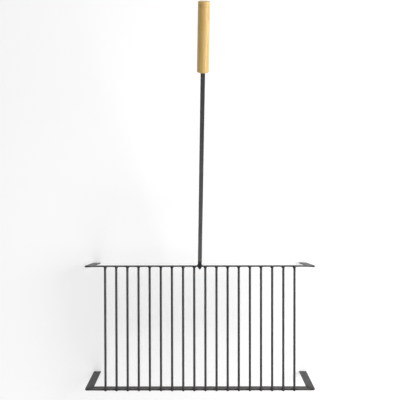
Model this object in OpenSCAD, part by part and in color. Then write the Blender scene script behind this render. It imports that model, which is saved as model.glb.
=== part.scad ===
// Cooking grate on four legs with a long rising handle, for use over embers.
// Round rods lie across two frames of flat bar, which lean in towards their feet.
// +X is to the right, +Y runs from the front of the grate towards the grip, +Z is up.
// The origin is on the floor, in the middle of the whole object's length and width.

/* [Grate] */
// Width of the grate over the ends of the cross bars
grate_w = 600; // [540:5:800]
// Depth of the grate over the cross bars' outer top edges
grate_d = 325; // [240:5:450]
// Height of the cross bars' outer top edges above the floor
grate_h = 120; // [70:5:200]
// How far each frame leans in towards its feet, in degrees
frame_lean = 3.5; // [0:0.5:8]

/* [Flat bar] */
// Width of the flat bar that the frames are made of
flat_w = 20; // [15:1:30]
// Thickness of the flat bar
flat_t = 3; // [2.5:0.5:5]
// Radius of the flat bar's rolled edges
flat_edge_r = 0.5; // [0.2:0.1:0.9]
// Radius that the frames' outer corners are ground to
corner_r = 7; // [2:0.5:12]

/* [Rods] */
// Number of rods
rod_count = 18; // [8:1:20]
// Diameter of the rods
rod_d = 6; // [5:0.5:8]
// Distance from the end of a cross bar to the middle of the nearest rod
side_margin = 55; // [35:1:75]
// Chamfer on the rods' ends
rod_chamfer = 0.4; // [0.1:0.1:0.8]

/* [Handle bar] */
// Side of the square handle bar
handle_w = 10; // [7:0.5:12]
// Chamfer along the handle bar's four edges
handle_chamfer = 0.7; // [0.3:0.1:1.5]
// Length of the straight rising part, from the bend to the grip
handle_l = 485; // [250:1:700]
// Rise of the handle above level, in degrees
handle_rise = 26; // [10:1:45]
// How far the handle swings to the right of straight back, in degrees
handle_swing = 1; // [-3:0.1:3]
// Inner radius of the bend that starts the rise
bend_r = 6; // [4:0.5:20]
// How far the bend stands proud of the bar all round, where bending has thickened it
bend_swell = 0.15; // [0.1:0.05:0.4]
// Length of the level end behind the back bar's outer face
level_behind = 10; // [6:0.5:25]
// Length of the level end past the back bar's inner face
level_inside = 5; // [3:0.5:12]
// Width of the blunt tip between the level end's snipped corners
tip_w = 3; // [1:0.5:6]

/* [Grip] */
// Length of the grip
grip_l = 145; // [100:1:200]
// Diameter of the grip where the handle bar enters it
grip_inner_d = 26; // [22:0.5:34]
// Diameter of the grip at its free end
grip_outer_d = 25; // [21:0.5:34]
// Rounding of the grip's two ends
grip_end_r = 1.8; // [0.5:0.1:4]
// Distance from the grip's free end to its first groove
groove_from_end = 5; // [5:0.5:10]
// Distance between the grip's two grooves
groove_pitch = 5; // [3:0.5:10]
// Radius of the tool that turns the grooves
groove_r = 1; // [0.5:0.1:1.8]
// Depth of the grooves
groove_depth = 0.7; // [0.3:0.1:0.9]

/* [Tang] */
// Diameter of the tang that the grip is driven on to
tang_d = 7; // [5:0.5:7]
// Length of the tang
tang_l = 90; // [50:1:95]
// Chamfer on the end of the tang
tang_chamfer = 1; // [0.5:0.1:2]
// Gap around the tang in the grip's bore
tang_clearance = 0.05; // [0.02:0.01:0.2]
// Free depth of the bore past the end of the tang
tang_end_gap = 2; // [0.5:0.5:4]

/* [Welds] */
// How far the rods and the handle sink into the bars' top edges when they are welded
weld_sink = 0.6; // [0.3:0.1:1.2]
// How far a rod's weld reaches out beside the rod
rod_weld_reach = 1.4; // [1:0.1:2.5]
// How far the middle of a rod's weld lies below the bar's top edge
rod_weld_drop = 0.8; // [0:0.1:2]
// How far the handle's welds reach out beside the handle
handle_weld_reach = 2.7; // [1.5:0.1:3]
// Radius of the welds beside the handle
handle_weld_r = 4; // [3.2:0.1:5]
// Width of the seam weld inside a mitred corner
seam_w = 6; // [5:0.5:8]
// Height of the seam weld above the flat bar
seam_h = 1.4; // [1.2:0.1:2]
// Distance from one ripple of the seam weld to the next
ripple_pitch = 2.2; // [1.5:0.1:3]

/* [Hidden] */

// How far cutting shapes run past what they cut
cut = 1;
// How far the parts of one solid run into each other
lap = 1;
$fn = 48;

steel_colour = [0.30, 0.30, 0.29];
weld_colour = [0.20, 0.19, 0.18];
wood_colour = [0.85, 0.70, 0.42];

// Rods, sunk into the bars' top edges and spread evenly between the two margins
rod_r = rod_d / 2;
rod_z = grate_h - weld_sink + rod_r;
rod_pitch = (grate_w - 2 * side_margin) / (rod_count - 1);
function rod_x(i) = (i - (rod_count + 1) / 2) * rod_pitch;
function rod_name(i) = str("grill_rod_", i < 10 ? "0" : "", i);

// The handle crosses the back bar in the gap nearest the middle
handle_x = rod_count % 2 == 0 ? 0 : rod_pitch / 2;
level_z = grate_h - weld_sink + handle_w / 2;
tip_y = -flat_t - level_inside;

// Middle line of the bend, and where the straight rising part starts
bend_mid_r = bend_r + handle_w / 2;
rise_y = level_behind + bend_mid_r * sin(handle_rise);

// The furthest point behind the back bar lies on the rounding of the grip's free end
end_ring_r = grip_outer_d / 2 - grip_end_r;
end_ring_y = rise_y + (handle_l + grip_l - grip_end_r) * cos(handle_rise);
axis_y_share = cos(handle_rise) * cos(handle_swing);
end_tilt_reach = end_ring_r * sqrt(1 - axis_y_share * axis_y_share);
handle_reach = end_ring_y * cos(handle_swing) + end_tilt_reach + grip_end_r;

// The whole length is halved about the origin
front_y = -(grate_d + handle_reach) / 2;
back_y = front_y + grate_d;

// A leg is long enough to be cut level at the floor at any lean
leg_l = grate_h / cos(frame_lean) + flat_t * tan(frame_lean) + cut;

// A ripple of the seam weld is a cap of a sphere that is as wide and high as the seam
seam_r = (seam_w * seam_w / 4 + seam_h * seam_h) / (2 * seam_h);
seam_start = corner_r * (sqrt(2) - 1) + seam_w / 2;
seam_end = flat_w * sqrt(2) - seam_w / 2;

// Puts a frame's own shapes in place: their y = 0 is the outer face and z = 0 the top edge
module at_back() {
    translate([0, back_y, grate_h])
        rotate([-frame_lean, 0, 0])
            children();
}

module at_front() {
    translate([0, front_y, grate_h])
        mirror([0, 1, 0])
            rotate([-frame_lean, 0, 0])
                children();
}

// Puts the handle's own shapes in place: their y = 0 is the back bar's outer top edge,
// and their z = 0 the middle line of the handle's level end
module at_handle() {
    translate([handle_x, back_y, level_z])
        rotate([0, 0, -handle_swing])
            children();
}

// From the handle's own place to the rising part, whose z = 0 is the end of the bend
module along_rise() {
    translate([0, level_behind, bend_mid_r])
        rotate([handle_rise, 0, 0])
            translate([0, 0, -bend_mid_r])
                rotate([-90, 0, 0])
                    children();
}

// Section of rolled flat bar with rounded edges
module flat_section(across, up) {
    square([across - 2 * flat_edge_r, up], center = true);
    square([across, up - 2 * flat_edge_r], center = true);
    for (x = [-1, 1], y = [-1, 1])
        translate([x * (across / 2 - flat_edge_r), y * (up / 2 - flat_edge_r)])
            circle(flat_edge_r);
}

// Makes an outline drawn in a frame's own plane into a block right through the frame
module through_frame() {
    translate([0, cut, 0])
        rotate([90, 0, 0])
            linear_extrude(flat_t + 2 * cut)
                children();
}

// Flat bar along the top of a frame, before its ends are mitred
module top_strip() {
    translate([-grate_w / 2, -flat_t / 2, -flat_w / 2])
        rotate([90, 0, 90])
            linear_extrude(grate_w)
                flat_section(flat_t, flat_w);
}

// What grinding takes off a frame's outer left corner
module ground_off() {
    through_frame()
        difference() {
            translate([-grate_w / 2 - cut, -corner_r])
                square(corner_r + cut);
            translate([-grate_w / 2 + corner_r, -corner_r])
                circle(corner_r);
        }
}

module cross_bar() {
    half_w = grate_w / 2;
    difference() {
        intersection() {
            top_strip();
            through_frame()
                polygon([
                    [-half_w - cut, cut],
                    [half_w + cut, cut],
                    [half_w - flat_w - cut, -flat_w - cut],
                    [-half_w + flat_w + cut, -flat_w - cut]
                ]);
        }
        ground_off();
        mirror([1, 0, 0])
            ground_off();
    }
}

module left_leg() {
    outer_x = -grate_w / 2;
    difference() {
        intersection() {
            translate([outer_x + flat_w / 2, -flat_t / 2, -leg_l])
                linear_extrude(leg_l)
                    flat_section(flat_w, flat_t);
            through_frame()
                polygon([
                    [outer_x - cut, cut],
                    [outer_x - cut, -leg_l - cut],
                    [outer_x + flat_w + cut, -leg_l - cut],
                    [outer_x + flat_w + cut, -flat_w - cut]
                ]);
        }
        ground_off();
    }
}

module right_leg() {
    mirror([1, 0, 0])
        left_leg();
}

// Feet are cut level, so that they stand flat
module cut_level() {
    difference() {
        children();
        translate([-grate_w, front_y - grate_h, -grate_h])
            cube([2 * grate_w, grate_d + 2 * grate_h, grate_h]);
    }
}

// The lines of all the rods, over the whole depth of the grate and past it
module rod_lines() {
    for (i = [1 : rod_count])
        translate([rod_x(i), front_y - cut, rod_z])
            rotate([-90, 0, 0])
                cylinder(h = grate_d + 2 * cut, r = rod_r);
}

module grill_rod(i) {
    end_r = rod_r - rod_chamfer;
    color(steel_colour)
        translate([rod_x(i), front_y, rod_z])
            rotate([-90, 0, 0])
                rotate_extrude()
                    polygon([
                        [0, 0],
                        [end_r, 0],
                        [rod_r, rod_chamfer],
                        [rod_r, grate_d - rod_chamfer],
                        [end_r, grate_d],
                        [0, grate_d]
                    ]);
}

module front_bar() {
    color(steel_colour)
        difference() {
            at_front()
                cross_bar();
            rod_lines();
        }
}

module back_bar() {
    color(steel_colour)
        difference() {
            at_back()
                cross_bar();
            rod_lines();
            at_handle()
                handle_level_end();
        }
}

module front_left_leg() {
    color(steel_colour)
        cut_level()
            at_front()
                left_leg();
}

module front_right_leg() {
    color(steel_colour)
        cut_level()
            at_front()
                right_leg();
}

module back_left_leg() {
    color(steel_colour)
        cut_level()
            at_back()
                left_leg();
}

module back_right_leg() {
    color(steel_colour)
        cut_level()
            at_back()
                right_leg();
}

module handle_section(swell = 0) {
    side = handle_w / 2 + swell;
    inner = side - handle_chamfer;
    polygon([
        [-inner, -side],
        [inner, -side],
        [side, -inner],
        [side, inner],
        [inner, side],
        [-inner, side],
        [-side, inner],
        [-side, -inner]
    ]);
}

// The level end lies across the back bar, with its corners snipped to a blunt tip
module handle_level_end() {
    snip_w = (handle_w - tip_w) / 2;
    side_x = handle_w / 2 + snip_w;
    end_y = level_behind + lap;
    intersection() {
        translate([0, tip_y - cut, 0])
            rotate([-90, 0, 0])
                linear_extrude(end_y - tip_y + cut)
                    handle_section();
        linear_extrude(2 * handle_w, center = true)
            polygon([
                [-tip_w / 2, tip_y],
                [tip_w / 2, tip_y],
                [side_x, tip_y + 2 * level_inside],
                [side_x, end_y + cut],
                [-side_x, end_y + cut],
                [-side_x, tip_y + 2 * level_inside]
            ]);
    }
}

module handle_bend() {
    translate([0, level_behind, bend_mid_r])
        rotate([0, 90, 0])
            rotate_extrude(angle = handle_rise)
                translate([bend_mid_r, 0])
                    handle_section(bend_swell);
}

// The tang starts inside the square bar that it is turned from
module tang() {
    tang_r = tang_d / 2;
    rotate_extrude()
        polygon([
            [0, handle_l - lap],
            [tang_r, handle_l - lap],
            [tang_r, handle_l + tang_l - tang_chamfer],
            [tang_r - tang_chamfer, handle_l + tang_l],
            [0, handle_l + tang_l]
        ]);
}

module handle_bar() {
    color(steel_colour)
        at_handle() {
            handle_level_end();
            handle_bend();
            along_rise() {
                translate([0, 0, -lap])
                    linear_extrude(handle_l + lap)
                        handle_section();
                tang();
            }
        }
}

// Half outline of the grip, from the end that the handle enters to its free end
module grip_profile() {
    inner_r = grip_inner_d / 2;
    outer_r = grip_outer_d / 2;
    polygon([
        [0, 0],
        [inner_r - grip_end_r, 0],
        [inner_r, grip_end_r],
        [outer_r, grip_l - grip_end_r],
        [outer_r - grip_end_r, grip_l],
        [0, grip_l]
    ]);
    translate([inner_r - grip_end_r, grip_end_r])
        circle(grip_end_r);
    translate([outer_r - grip_end_r, grip_l - grip_end_r])
        circle(grip_end_r);
}

module grip_grooves() {
    for (n = [0, 1])
        translate([grip_outer_d / 2 + groove_r - groove_depth, grip_l - groove_from_end - n * groove_pitch])
            circle(groove_r);
}

module wood_grip() {
    color(wood_colour)
        at_handle()
            along_rise()
                translate([0, 0, handle_l])
                    difference() {
                        rotate_extrude()
                            difference() {
                                grip_profile();
                                grip_grooves();
                            }
                        translate([0, 0, -cut])
                            cylinder(h = tang_l + tang_end_gap + cut, r = tang_d / 2 + tang_clearance);
                    }
}

// One lump of weld for each rod, in a frame's own place: it hugs the rod on the top edge,
// fills the corner inside the bar, and stops short of the bar's rolled outer edge
module rod_weld_row() {
    difference() {
        for (i = [1 : rod_count])
            translate([rod_x(i), -flat_t, -rod_weld_drop])
                sphere(rod_r + rod_weld_reach);
        top_strip();
        translate([-grate_w, -flat_edge_r, -flat_w])
            cube([2 * grate_w, flat_w, 2 * flat_w]);
    }
}

module front_rod_welds() {
    color(weld_colour)
        difference() {
            at_front()
                rod_weld_row();
            rod_lines();
        }
}

module back_rod_welds() {
    color(weld_colour)
        difference() {
            at_back()
                rod_weld_row();
            rod_lines();
        }
}

// Lumps of weld on the handle's two sides, at the height of the back bar's top edge
module handle_weld() {
    weld_x = handle_w / 2 + handle_weld_reach - handle_weld_r;
    color(weld_colour)
        difference() {
            at_handle()
                for (side = [-1, 1])
                    translate([side * weld_x, 0, grate_h - level_z])
                        sphere(handle_weld_r);
            at_back()
                top_strip();
            at_handle()
                handle_level_end();
        }
}

// Seam weld on the inner face of a frame's left corner, along its mitre
module seam_weld() {
    intersection() {
        for (s = [seam_start : ripple_pitch : seam_end])
            translate([-grate_w / 2 + s / sqrt(2), -flat_t - seam_h + seam_r, -s / sqrt(2)])
                sphere(seam_r);
        translate([-grate_w / 2, -flat_t - flat_w, -flat_w])
            cube(flat_w);
    }
}

module corner_welds() {
    color(weld_colour) {
        at_front() {
            seam_weld();
            mirror([1, 0, 0])
                seam_weld();
        }
        at_back() {
            seam_weld();
            mirror([1, 0, 0])
                seam_weld();
        }
    }
}

for (i = [1 : rod_count])
    grill_rod(i);
front_bar();
back_bar();
front_left_leg();
front_right_leg();
back_left_leg();
back_right_leg();
handle_bar();
wood_grip();
front_rod_welds();
back_rod_welds();
corner_welds();
handle_weld();
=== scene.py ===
# Looks of a cooking grate with a long handle: mill-scaled steel, weld metal and turned wood.
# Everything is in metres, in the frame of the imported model.

import math

import bmesh
import bpy
from mathutils import Matrix, Vector


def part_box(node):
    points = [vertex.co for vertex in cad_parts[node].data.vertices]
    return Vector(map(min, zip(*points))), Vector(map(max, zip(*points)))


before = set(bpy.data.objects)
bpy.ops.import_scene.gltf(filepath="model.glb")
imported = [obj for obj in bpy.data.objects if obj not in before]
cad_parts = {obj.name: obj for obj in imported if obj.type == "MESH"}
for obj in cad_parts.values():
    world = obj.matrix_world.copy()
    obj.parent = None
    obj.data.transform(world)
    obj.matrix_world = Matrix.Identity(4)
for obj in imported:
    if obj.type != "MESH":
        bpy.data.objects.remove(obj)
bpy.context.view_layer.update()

# Sizes that the boxes of the nodes don't give
FLAT_T = 0.003
WELD_SINK = 0.0006
HANDLE_W = 0.010
HANDLE_RISE = math.radians(26)
HANDLE_SWING = math.radians(1)
HANDLE_L = 0.485
BEND_MID_R = 0.011
LEVEL_BEHIND = 0.010

# Places that the frame gives
ROD_NAMES = sorted(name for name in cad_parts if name.startswith("grill_rod_"))
ROD_LOW, ROD_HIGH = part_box(ROD_NAMES[0])
ROD_XS = [sum(corner.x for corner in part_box(name)) / 2 for name in ROD_NAMES]
ROD_PITCH = ROD_XS[1] - ROD_XS[0]
FRONT_Y = ROD_LOW.y
BACK_Y = ROD_HIGH.y
GRATE_H = ROD_LOW.z + WELD_SINK
HALF_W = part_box("front_right_leg")[1].x
MID_Y = (FRONT_Y + BACK_Y) / 2
LEVEL_Z = GRATE_H - WELD_SINK + HANDLE_W / 2

# Camera, as found from the photograph
LENS = 47.57
SENSOR = 36.0
CAMERA_PLACE = (0.0030, 0.0589, 1.4872)
CAMERA_ROLL = math.radians(0.087)
CAMERA_TILT = math.radians(0.788)
CAMERA_YAW = math.radians(-0.089)


# Node helpers

def add_node(tree, kind, inputs=None, **settings):
    """A node with its settings, and its inputs given by name or number as values or sockets."""
    node = tree.nodes.new(kind)
    for name, value in settings.items():
        setattr(node, name, value)
    for key, value in (inputs or {}).items():
        if isinstance(value, bpy.types.NodeSocket):
            tree.links.new(value, node.inputs[key])
        else:
            node.inputs[key].default_value = value
    return node


def calc(tree, operation, a, b=0.0, c=0.0):
    """The result of a Math node."""
    return add_node(tree, "ShaderNodeMath", {0: a, 1: b, 2: c}, operation=operation).outputs[0]


def fade(tree, value, start, end):
    """1 up to start and 0 from end on, smoothly between."""
    return add_node(
        tree,
        "ShaderNodeMapRange",
        {"Value": value, "From Min": start, "From Max": end, "To Min": 1.0, "To Max": 0.0},
        interpolation_type="SMOOTHSTEP",
    ).outputs["Result"]


def blend_colour(tree, factor, first, second):
    """A mix of two colours, each a socket or three numbers."""
    node = add_node(tree, "ShaderNodeMix", {0: factor}, data_type="RGBA")
    for index, value in ((6, first), (7, second)):
        if isinstance(value, bpy.types.NodeSocket):
            tree.links.new(value, node.inputs[index])
        else:
            node.inputs[index].default_value = (*value, 1.0)
    return node.outputs[2]


def noise_at(tree, vector, scale, detail=3.0, roughness=0.5):
    """A noise value from 0 to 1."""
    return add_node(
        tree,
        "ShaderNodeTexNoise",
        {"Vector": vector, "Scale": scale, "Detail": detail, "Roughness": roughness},
    ).outputs["Fac"]


def stretched(tree, vector, scale):
    """Coordinates scaled apart, for streaks."""
    return add_node(tree, "ShaderNodeMapping", {"Vector": vector, "Scale": scale}).outputs[0]


def new_material(name):
    """A material with one Principled shader, its node tree and that shader."""
    material = bpy.data.materials.new(name)
    material.use_nodes = True
    tree = material.node_tree
    tree.nodes.clear()
    output = tree.nodes.new("ShaderNodeOutputMaterial")
    shader = tree.nodes.new("ShaderNodeBsdfPrincipled")
    tree.links.new(shader.outputs[0], output.inputs[0])
    return material, tree, shader


# Steel

STEEL_DARK = (0.048, 0.049, 0.052)
STEEL_MIDDLE = (0.086, 0.086, 0.084)
STEEL_BARE = (0.27, 0.26, 0.245)
STEEL_METALLIC = 0.75
BLOTCH_SCALE = 38.0
FLAKE_SCALE = 420.0
GRAIN_SCALE = 2600.0
STREAK_LONG = 14.0
STREAK_ACROSS = 320.0

# Tints around a weld, outermost first: colour, distance at which each is full and gone, strength
HEAT_TINTS = (
    ((0.115, 0.088, 0.056), 0.012, 0.020, 0.50),
    ((0.045, 0.048, 0.062), 0.008, 0.014, 0.80),
    ((0.026, 0.025, 0.026), 0.004, 0.009, 0.85),
)
TINT_WANDER = 0.008
HANDLE_WELD_SHARE = 0.6

EDGE_R = 0.0009
EDGE_WEAR = 0.45


def weld_distance(tree, place):
    """How far a point lies from the nearest weld, in metres."""
    x, y, z = add_node(tree, "ShaderNodeSeparateXYZ", {0: place}).outputs
    to_bar = calc(tree, "ABSOLUTE", calc(tree, "SUBTRACT", y, MID_Y))
    bar_middle = (BACK_Y - FRONT_Y - FLAT_T) / 2
    to_bar = calc(tree, "ABSOLUTE", calc(tree, "SUBTRACT", to_bar, bar_middle))
    below = calc(tree, "SUBTRACT", GRATE_H, z)

    # To the nearest rod: past the outer rods, the rest of the way counts too
    side = calc(tree, "ABSOLUTE", x)
    held = calc(tree, "MINIMUM", side, ROD_XS[-1])
    past = calc(tree, "SUBTRACT", side, held)
    step = calc(tree, "WRAP", held, ROD_PITCH, 0.0)
    to_rod = calc(tree, "ABSOLUTE", calc(tree, "SUBTRACT", step, ROD_PITCH / 2))
    to_rod = calc(tree, "ADD", to_rod, past)
    rod_gap = add_node(tree, "ShaderNodeCombineXYZ", {0: to_rod, 1: to_bar, 2: below})
    rod_way = add_node(tree, "ShaderNodeVectorMath", {0: rod_gap.outputs[0]}, operation="LENGTH")

    # To the seam of the nearest mitred corner
    from_end = calc(tree, "SUBTRACT", HALF_W, side)
    seam_way = calc(tree, "ABSOLUTE", calc(tree, "SUBTRACT", from_end, below))
    seam_way = calc(tree, "MULTIPLY", seam_way, math.sqrt(0.5))

    # To the weld of the handle, which is larger, so that its heat reaches further
    handle_way = add_node(
        tree,
        "ShaderNodeVectorMath",
        {0: place, 1: (0.0, BACK_Y - FLAT_T / 2, GRATE_H)},
        operation="DISTANCE",
    ).outputs["Value"]
    nearest = calc(tree, "MINIMUM", rod_way.outputs["Value"], seam_way)
    return calc(tree, "MINIMUM", nearest, calc(tree, "MULTIPLY", handle_way, HANDLE_WELD_SHARE))


def steel_material(name, streak_scale, turn=(0.0, 0.0, 0.0)):
    """Hot-rolled steel in its mill scale, tinted by the heat of the welds and worn along its edges."""
    material, tree, shader = new_material(name)
    place = add_node(tree, "ShaderNodeTexCoord").outputs["Object"]
    lying = add_node(
        tree, "ShaderNodeMapping", {"Vector": place, "Rotation": turn}, vector_type="TEXTURE"
    ).outputs[0]
    blotches = noise_at(tree, place, BLOTCH_SCALE, 5.0, 0.6)
    streaks = noise_at(tree, stretched(tree, lying, streak_scale), 1.0, 4.0, 0.6)
    flakes = noise_at(tree, place, FLAKE_SCALE, 3.0, 0.55)
    grain = noise_at(tree, place, GRAIN_SCALE, 2.0, 0.6)

    tone = calc(tree, "MULTIPLY_ADD", streaks, 0.55, calc(tree, "MULTIPLY", blotches, 0.6))
    colour = blend_colour(tree, fade(tree, tone, 0.85, 0.32), STEEL_MIDDLE, STEEL_DARK)

    # Heat tint: straw far from the weld, then blue, then black scale beside it
    wander = calc(tree, "MULTIPLY_ADD", blotches, TINT_WANDER, -TINT_WANDER / 2)
    way = calc(tree, "ADD", weld_distance(tree, place), wander)
    for tint, full, gone, strength in HEAT_TINTS:
        amount = calc(tree, "MULTIPLY", fade(tree, way, full, gone), strength)
        colour = blend_colour(tree, amount, colour, tint)

    # Scale is rubbed off along the edges
    soft = add_node(tree, "ShaderNodeBevel", {"Radius": EDGE_R}, samples=4).outputs[0]
    flat = add_node(tree, "ShaderNodeNewGeometry").outputs["Normal"]
    facing = add_node(
        tree, "ShaderNodeVectorMath", {0: soft, 1: flat}, operation="DOT_PRODUCT"
    ).outputs["Value"]
    worn = calc(tree, "MULTIPLY", fade(tree, facing, 0.86, 0.985), fade(tree, flakes, 0.62, 0.42))
    colour = blend_colour(tree, calc(tree, "MULTIPLY", worn, EDGE_WEAR), colour, STEEL_BARE)
    tree.links.new(colour, shader.inputs["Base Color"])

    rough = calc(tree, "MULTIPLY_ADD", flakes, 0.22, 0.30)
    rough = calc(tree, "MULTIPLY_ADD", grain, 0.12, rough)
    tree.links.new(rough, shader.inputs["Roughness"])
    shader.inputs["Metallic"].default_value = STEEL_METALLIC

    height = calc(tree, "MULTIPLY_ADD", flakes, 0.6, calc(tree, "MULTIPLY", grain, 0.4))
    height = calc(tree, "MULTIPLY_ADD", streaks, 0.5, height)
    bump = add_node(
        tree,
        "ShaderNodeBump",
        {"Height": height, "Strength": 0.35, "Distance": 0.00012, "Normal": soft},
    )
    tree.links.new(bump.outputs[0], shader.inputs["Normal"])
    return material


# Weld metal

WELD_DARK = (0.034, 0.033, 0.034)
WELD_LIGHT = (0.088, 0.083, 0.078)
WELD_BROWN = (0.070, 0.050, 0.034)
WELD_METALLIC = 0.7
WELD_CLOUD_SCALE = 260.0
WELD_SPECK_SCALE = 1500.0


def weld_material():
    """Weld metal as it cools: dark and cloudy, with a little brown oxide."""
    material, tree, shader = new_material("weld_metal")
    place = add_node(tree, "ShaderNodeTexCoord").outputs["Object"]
    clouds = noise_at(tree, place, WELD_CLOUD_SCALE, 4.0, 0.6)
    specks = noise_at(tree, place, WELD_SPECK_SCALE, 3.0, 0.6)
    colour = blend_colour(tree, fade(tree, clouds, 0.68, 0.35), WELD_LIGHT, WELD_DARK)
    brown = calc(tree, "MULTIPLY", fade(tree, specks, 0.40, 0.52), 0.45)
    colour = blend_colour(tree, brown, colour, WELD_BROWN)
    tree.links.new(colour, shader.inputs["Base Color"])
    rough = calc(tree, "MULTIPLY_ADD", specks, 0.3, 0.28)
    tree.links.new(rough, shader.inputs["Roughness"])
    shader.inputs["Metallic"].default_value = WELD_METALLIC
    bump = add_node(tree, "ShaderNodeBump", {"Height": specks, "Strength": 0.4, "Distance": 0.0002})
    tree.links.new(bump.outputs[0], shader.inputs["Normal"])
    return material


# Wood, in coordinates whose Z runs along the grip

WOOD_PALE = (0.70, 0.49, 0.170)
WOOD_WARM = (0.50, 0.31, 0.085)
WOOD_PORE = (0.27, 0.145, 0.040)
RING_PITCH = 0.0026
PITH_PLACE = (0.021, -0.013, 0.0)
TURNING_PITCH = 0.0011
WANDER_SCALE = (30.0, 30.0, 9.0)
WANDER_REACH = (0.006, 0.006, 0.0)
FIBRE_SCALE = (900.0, 900.0, 22.0)
PORE_SCALE = (2600.0, 2600.0, 130.0)
CLOUD_SCALE = (50.0, 50.0, 12.0)
VARNISH_WEIGHT = 0.25
VARNISH_ROUGHNESS = 0.22


def wood_material(end_place, turn):
    """Turned pale hardwood with its growth rings, pores and a thin varnish. The grain runs along the grip."""
    material, tree, shader = new_material("turned_wood")
    place = add_node(tree, "ShaderNodeTexCoord").outputs["Object"]
    along = add_node(
        tree,
        "ShaderNodeMapping",
        {"Vector": place, "Location": end_place, "Rotation": turn},
        vector_type="TEXTURE",
    ).outputs[0]

    # Growth rings about a pith outside the grip, bent a little
    wander_place = stretched(tree, along, WANDER_SCALE)
    wander = add_node(tree, "ShaderNodeTexNoise", {"Vector": wander_place, "Scale": 1.0, "Detail": 2.0})
    bent = add_node(
        tree,
        "ShaderNodeVectorMath",
        {0: wander.outputs["Color"], 1: WANDER_REACH, 2: along},
        operation="MULTIPLY_ADD",
    )
    from_pith = add_node(
        tree, "ShaderNodeVectorMath", {0: bent.outputs[0], 1: PITH_PLACE}, operation="SUBTRACT"
    )
    across = add_node(
        tree, "ShaderNodeVectorMath", {0: from_pith.outputs[0], 1: (1.0, 1.0, 0.05)}, operation="MULTIPLY"
    )
    ring_way = add_node(tree, "ShaderNodeVectorMath", {0: across.outputs[0]}, operation="LENGTH")
    ring = calc(tree, "FRACT", calc(tree, "DIVIDE", ring_way.outputs["Value"], RING_PITCH))
    late = calc(tree, "POWER", ring, 2.5)

    fibres = noise_at(tree, stretched(tree, along, FIBRE_SCALE), 1.0, 3.0, 0.6)
    pores = noise_at(tree, stretched(tree, along, PORE_SCALE), 1.0, 1.0, 0.5)
    clouds = noise_at(tree, stretched(tree, along, CLOUD_SCALE), 1.0, 3.0, 0.5)

    warm = calc(tree, "MULTIPLY_ADD", late, 0.34, calc(tree, "MULTIPLY", fibres, 0.34))
    warm = calc(tree, "MULTIPLY_ADD", clouds, 0.45, warm)
    colour = blend_colour(tree, fade(tree, warm, 0.80, 0.22), WOOD_WARM, WOOD_PALE)
    pore = calc(tree, "MULTIPLY", fade(tree, pores, 0.30, 0.40), 0.40)
    colour = blend_colour(tree, pore, colour, WOOD_PORE)
    tree.links.new(colour, shader.inputs["Base Color"])
    rough = calc(tree, "MULTIPLY_ADD", fibres, 0.18, 0.36)
    tree.links.new(rough, shader.inputs["Roughness"])
    shader.inputs["Coat Weight"].default_value = VARNISH_WEIGHT
    shader.inputs["Coat Roughness"].default_value = VARNISH_ROUGHNESS

    # Fine marks that the lathe's tool leaves
    turned = add_node(tree, "ShaderNodeSeparateXYZ", {0: along}).outputs[2]
    marks = calc(tree, "SINE", calc(tree, "MULTIPLY", turned, 2 * math.pi / TURNING_PITCH))
    height = calc(tree, "MULTIPLY_ADD", fibres, 0.7, calc(tree, "MULTIPLY", marks, 0.10))
    height = calc(tree, "MULTIPLY_ADD", pore, -0.8, height)
    bump = add_node(tree, "ShaderNodeBump", {"Height": height, "Strength": 0.3, "Distance": 0.0001})
    tree.links.new(bump.outputs[0], shader.inputs["Normal"])
    return material


# Dressing the CAD nodes

def dress(node_names, material):
    """Puts a material in all the slots of CAD nodes."""
    for node_name in node_names:
        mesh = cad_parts[node_name].data
        if not mesh.materials:
            mesh.materials.append(material)
        for index in range(len(mesh.materials)):
            mesh.materials[index] = material


def handle_frame():
    """Place and turn of the rising part, whose Z runs up the handle from the end of its bend."""
    at_handle = Matrix.Translation((0.0, BACK_Y, LEVEL_Z)) @ Matrix.Rotation(-HANDLE_SWING, 4, "Z")
    bend = (
        Matrix.Translation((0.0, LEVEL_BEHIND, BEND_MID_R))
        @ Matrix.Rotation(HANDLE_RISE, 4, "X")
        @ Matrix.Translation((0.0, 0.0, -BEND_MID_R))
    )
    return at_handle @ bend @ Matrix.Rotation(math.radians(-90), 4, "X")


along_rise = handle_frame()
grip_start = along_rise @ Vector((0.0, 0.0, HANDLE_L))
rise_turn = along_rise.to_euler()

LENGTHWISE_X = (STREAK_LONG, STREAK_ACROSS, STREAK_ACROSS)
LENGTHWISE_Y = (STREAK_ACROSS, STREAK_LONG, STREAK_ACROSS)
LENGTHWISE_Z = (STREAK_ACROSS, STREAK_ACROSS, STREAK_LONG)
LEG_NAMES = ("front_left_leg", "front_right_leg", "back_left_leg", "back_right_leg")
WELD_NAMES = ("front_rod_welds", "back_rod_welds", "corner_welds", "handle_weld")

dress(ROD_NAMES, steel_material("steel_rods", LENGTHWISE_Y))
dress(("front_bar", "back_bar"), steel_material("steel_across", LENGTHWISE_X))
dress(LEG_NAMES, steel_material("steel_legs", LENGTHWISE_Z))
dress(("handle_bar",), steel_material("steel_handle", LENGTHWISE_Z, rise_turn))
dress(("wood_grip",), wood_material(grip_start, rise_turn))
dress(WELD_NAMES, weld_material())


# Floor, light and camera

FLOOR_R = 30.0
FLOOR_SIDES = 96
FLOOR_COLOUR = (0.72, 0.72, 0.72, 1.0)
FLOOR_GLOW = 0.35
WHITE = (1.0, 1.0, 1.0, 1.0)

# The sky's light, and the heights between which it dims to the level overhead (0 level, 1 straight up)
SKY_LEVEL = 0.95
OVERHEAD_LEVEL = 0.08
DIM_FROM = 0.50
DIM_TO = 0.85
RIGHT_SHARE = 0.35


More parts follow.
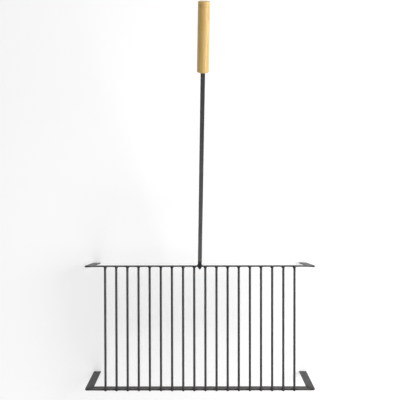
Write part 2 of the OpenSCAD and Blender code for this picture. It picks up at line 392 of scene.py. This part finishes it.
def make_floor():
    """A wide pale disc. What the camera and reflections see of it is lifted to white, and its shadow stays."""
    made = bmesh.new()
    bmesh.ops.create_circle(made, cap_ends=True, segments=FLOOR_SIDES, radius=FLOOR_R)
    mesh = bpy.data.meshes.new("floor")
    made.to_mesh(mesh)
    made.free()
    floor = bpy.data.objects.new("floor", mesh)
    bpy.context.scene.collection.objects.link(floor)

    material = bpy.data.materials.new("pale_floor")
    material.use_nodes = True
    tree = material.node_tree
    tree.nodes.clear()
    path = add_node(tree, "ShaderNodeLightPath")
    seen = calc(tree, "MAXIMUM", path.outputs["Is Camera Ray"], path.outputs["Is Glossy Ray"])
    seen = calc(tree, "MAXIMUM", seen, path.outputs["Is Transmission Ray"])
    strength = calc(tree, "MULTIPLY", seen, FLOOR_GLOW)
    glow = add_node(tree, "ShaderNodeEmission", {"Color": WHITE, "Strength": strength})
    matt = add_node(tree, "ShaderNodeBsdfDiffuse", {"Color": FLOOR_COLOUR})
    both = add_node(tree, "ShaderNodeAddShader", {0: glow.outputs[0], 1: matt.outputs[0]})
    add_node(tree, "ShaderNodeOutputMaterial", {0: both.outputs[0]})
    mesh.materials.append(material)


def make_world():
    """Soft light from all round, dimmer overhead and stronger from the right. The camera sees it white."""
    world = bpy.data.worlds.new("studio")
    bpy.context.scene.world = world
    world.use_nodes = True
    tree = world.node_tree
    tree.nodes.clear()
    direction = add_node(tree, "ShaderNodeTexCoord").outputs["Generated"]
    right, _, up = add_node(tree, "ShaderNodeSeparateXYZ", {0: direction}).outputs
    level = add_node(
        tree,
        "ShaderNodeMapRange",
        {"Value": up, "From Min": DIM_FROM, "From Max": DIM_TO, "To Min": SKY_LEVEL, "To Max": OVERHEAD_LEVEL},
        interpolation_type="SMOOTHSTEP",
    ).outputs["Result"]
    level = calc(tree, "MULTIPLY", level, calc(tree, "MULTIPLY_ADD", right, RIGHT_SHARE, 1.0))
    path = add_node(tree, "ShaderNodeLightPath")
    level = calc(tree, "MAXIMUM", level, path.outputs["Is Camera Ray"])
    sky = add_node(tree, "ShaderNodeBackground", {"Color": WHITE, "Strength": level})
    add_node(tree, "ShaderNodeOutputWorld", {0: sky.outputs[0]})


def add_lamp(name, place, target, width, height, power):
    """A soft box that faces its target."""
    lamp = bpy.data.lights.new(name, "AREA")
    lamp.shape = "RECTANGLE"
    lamp.size = width
    lamp.size_y = height
    lamp.energy = power
    holder = bpy.data.objects.new(name, lamp)
    holder.location = place
    holder.rotation_euler = (Vector(target) - Vector(place)).to_track_quat("-Z", "Y").to_euler()
    bpy.context.scene.collection.objects.link(holder)


def make_camera():
    """The camera at the photograph's viewing angle."""
    lens = bpy.data.cameras.new("photo_camera")
    lens.lens = LENS
    lens.sensor_width = SENSOR
    lens.clip_start = 0.01
    lens.clip_end = 100.0
    turn = (
        Matrix.Rotation(CAMERA_ROLL, 3, "Z")
        @ Matrix.Rotation(CAMERA_TILT, 3, "X")
        @ Matrix.Rotation(CAMERA_YAW, 3, "Y")
    )
    camera = bpy.data.objects.new("photo_camera", lens)
    camera.location = CAMERA_PLACE
    camera.rotation_euler = turn.transposed().to_euler()
    bpy.context.scene.collection.objects.link(camera)
    bpy.context.scene.camera = camera


LIT_PLACE = (0.0, 0.0, 0.1)
make_floor()
make_world()
add_lamp("right_box", (1.9, 0.2, 1.5), LIT_PLACE, width=1.6, height=1.6, power=48.0)
add_lamp("front_box", (0.0, -2.2, 1.1), LIT_PLACE, width=2.0, height=1.0, power=12.0)
make_camera()
bpy.context.scene.view_settings.view_transform = "Standard"
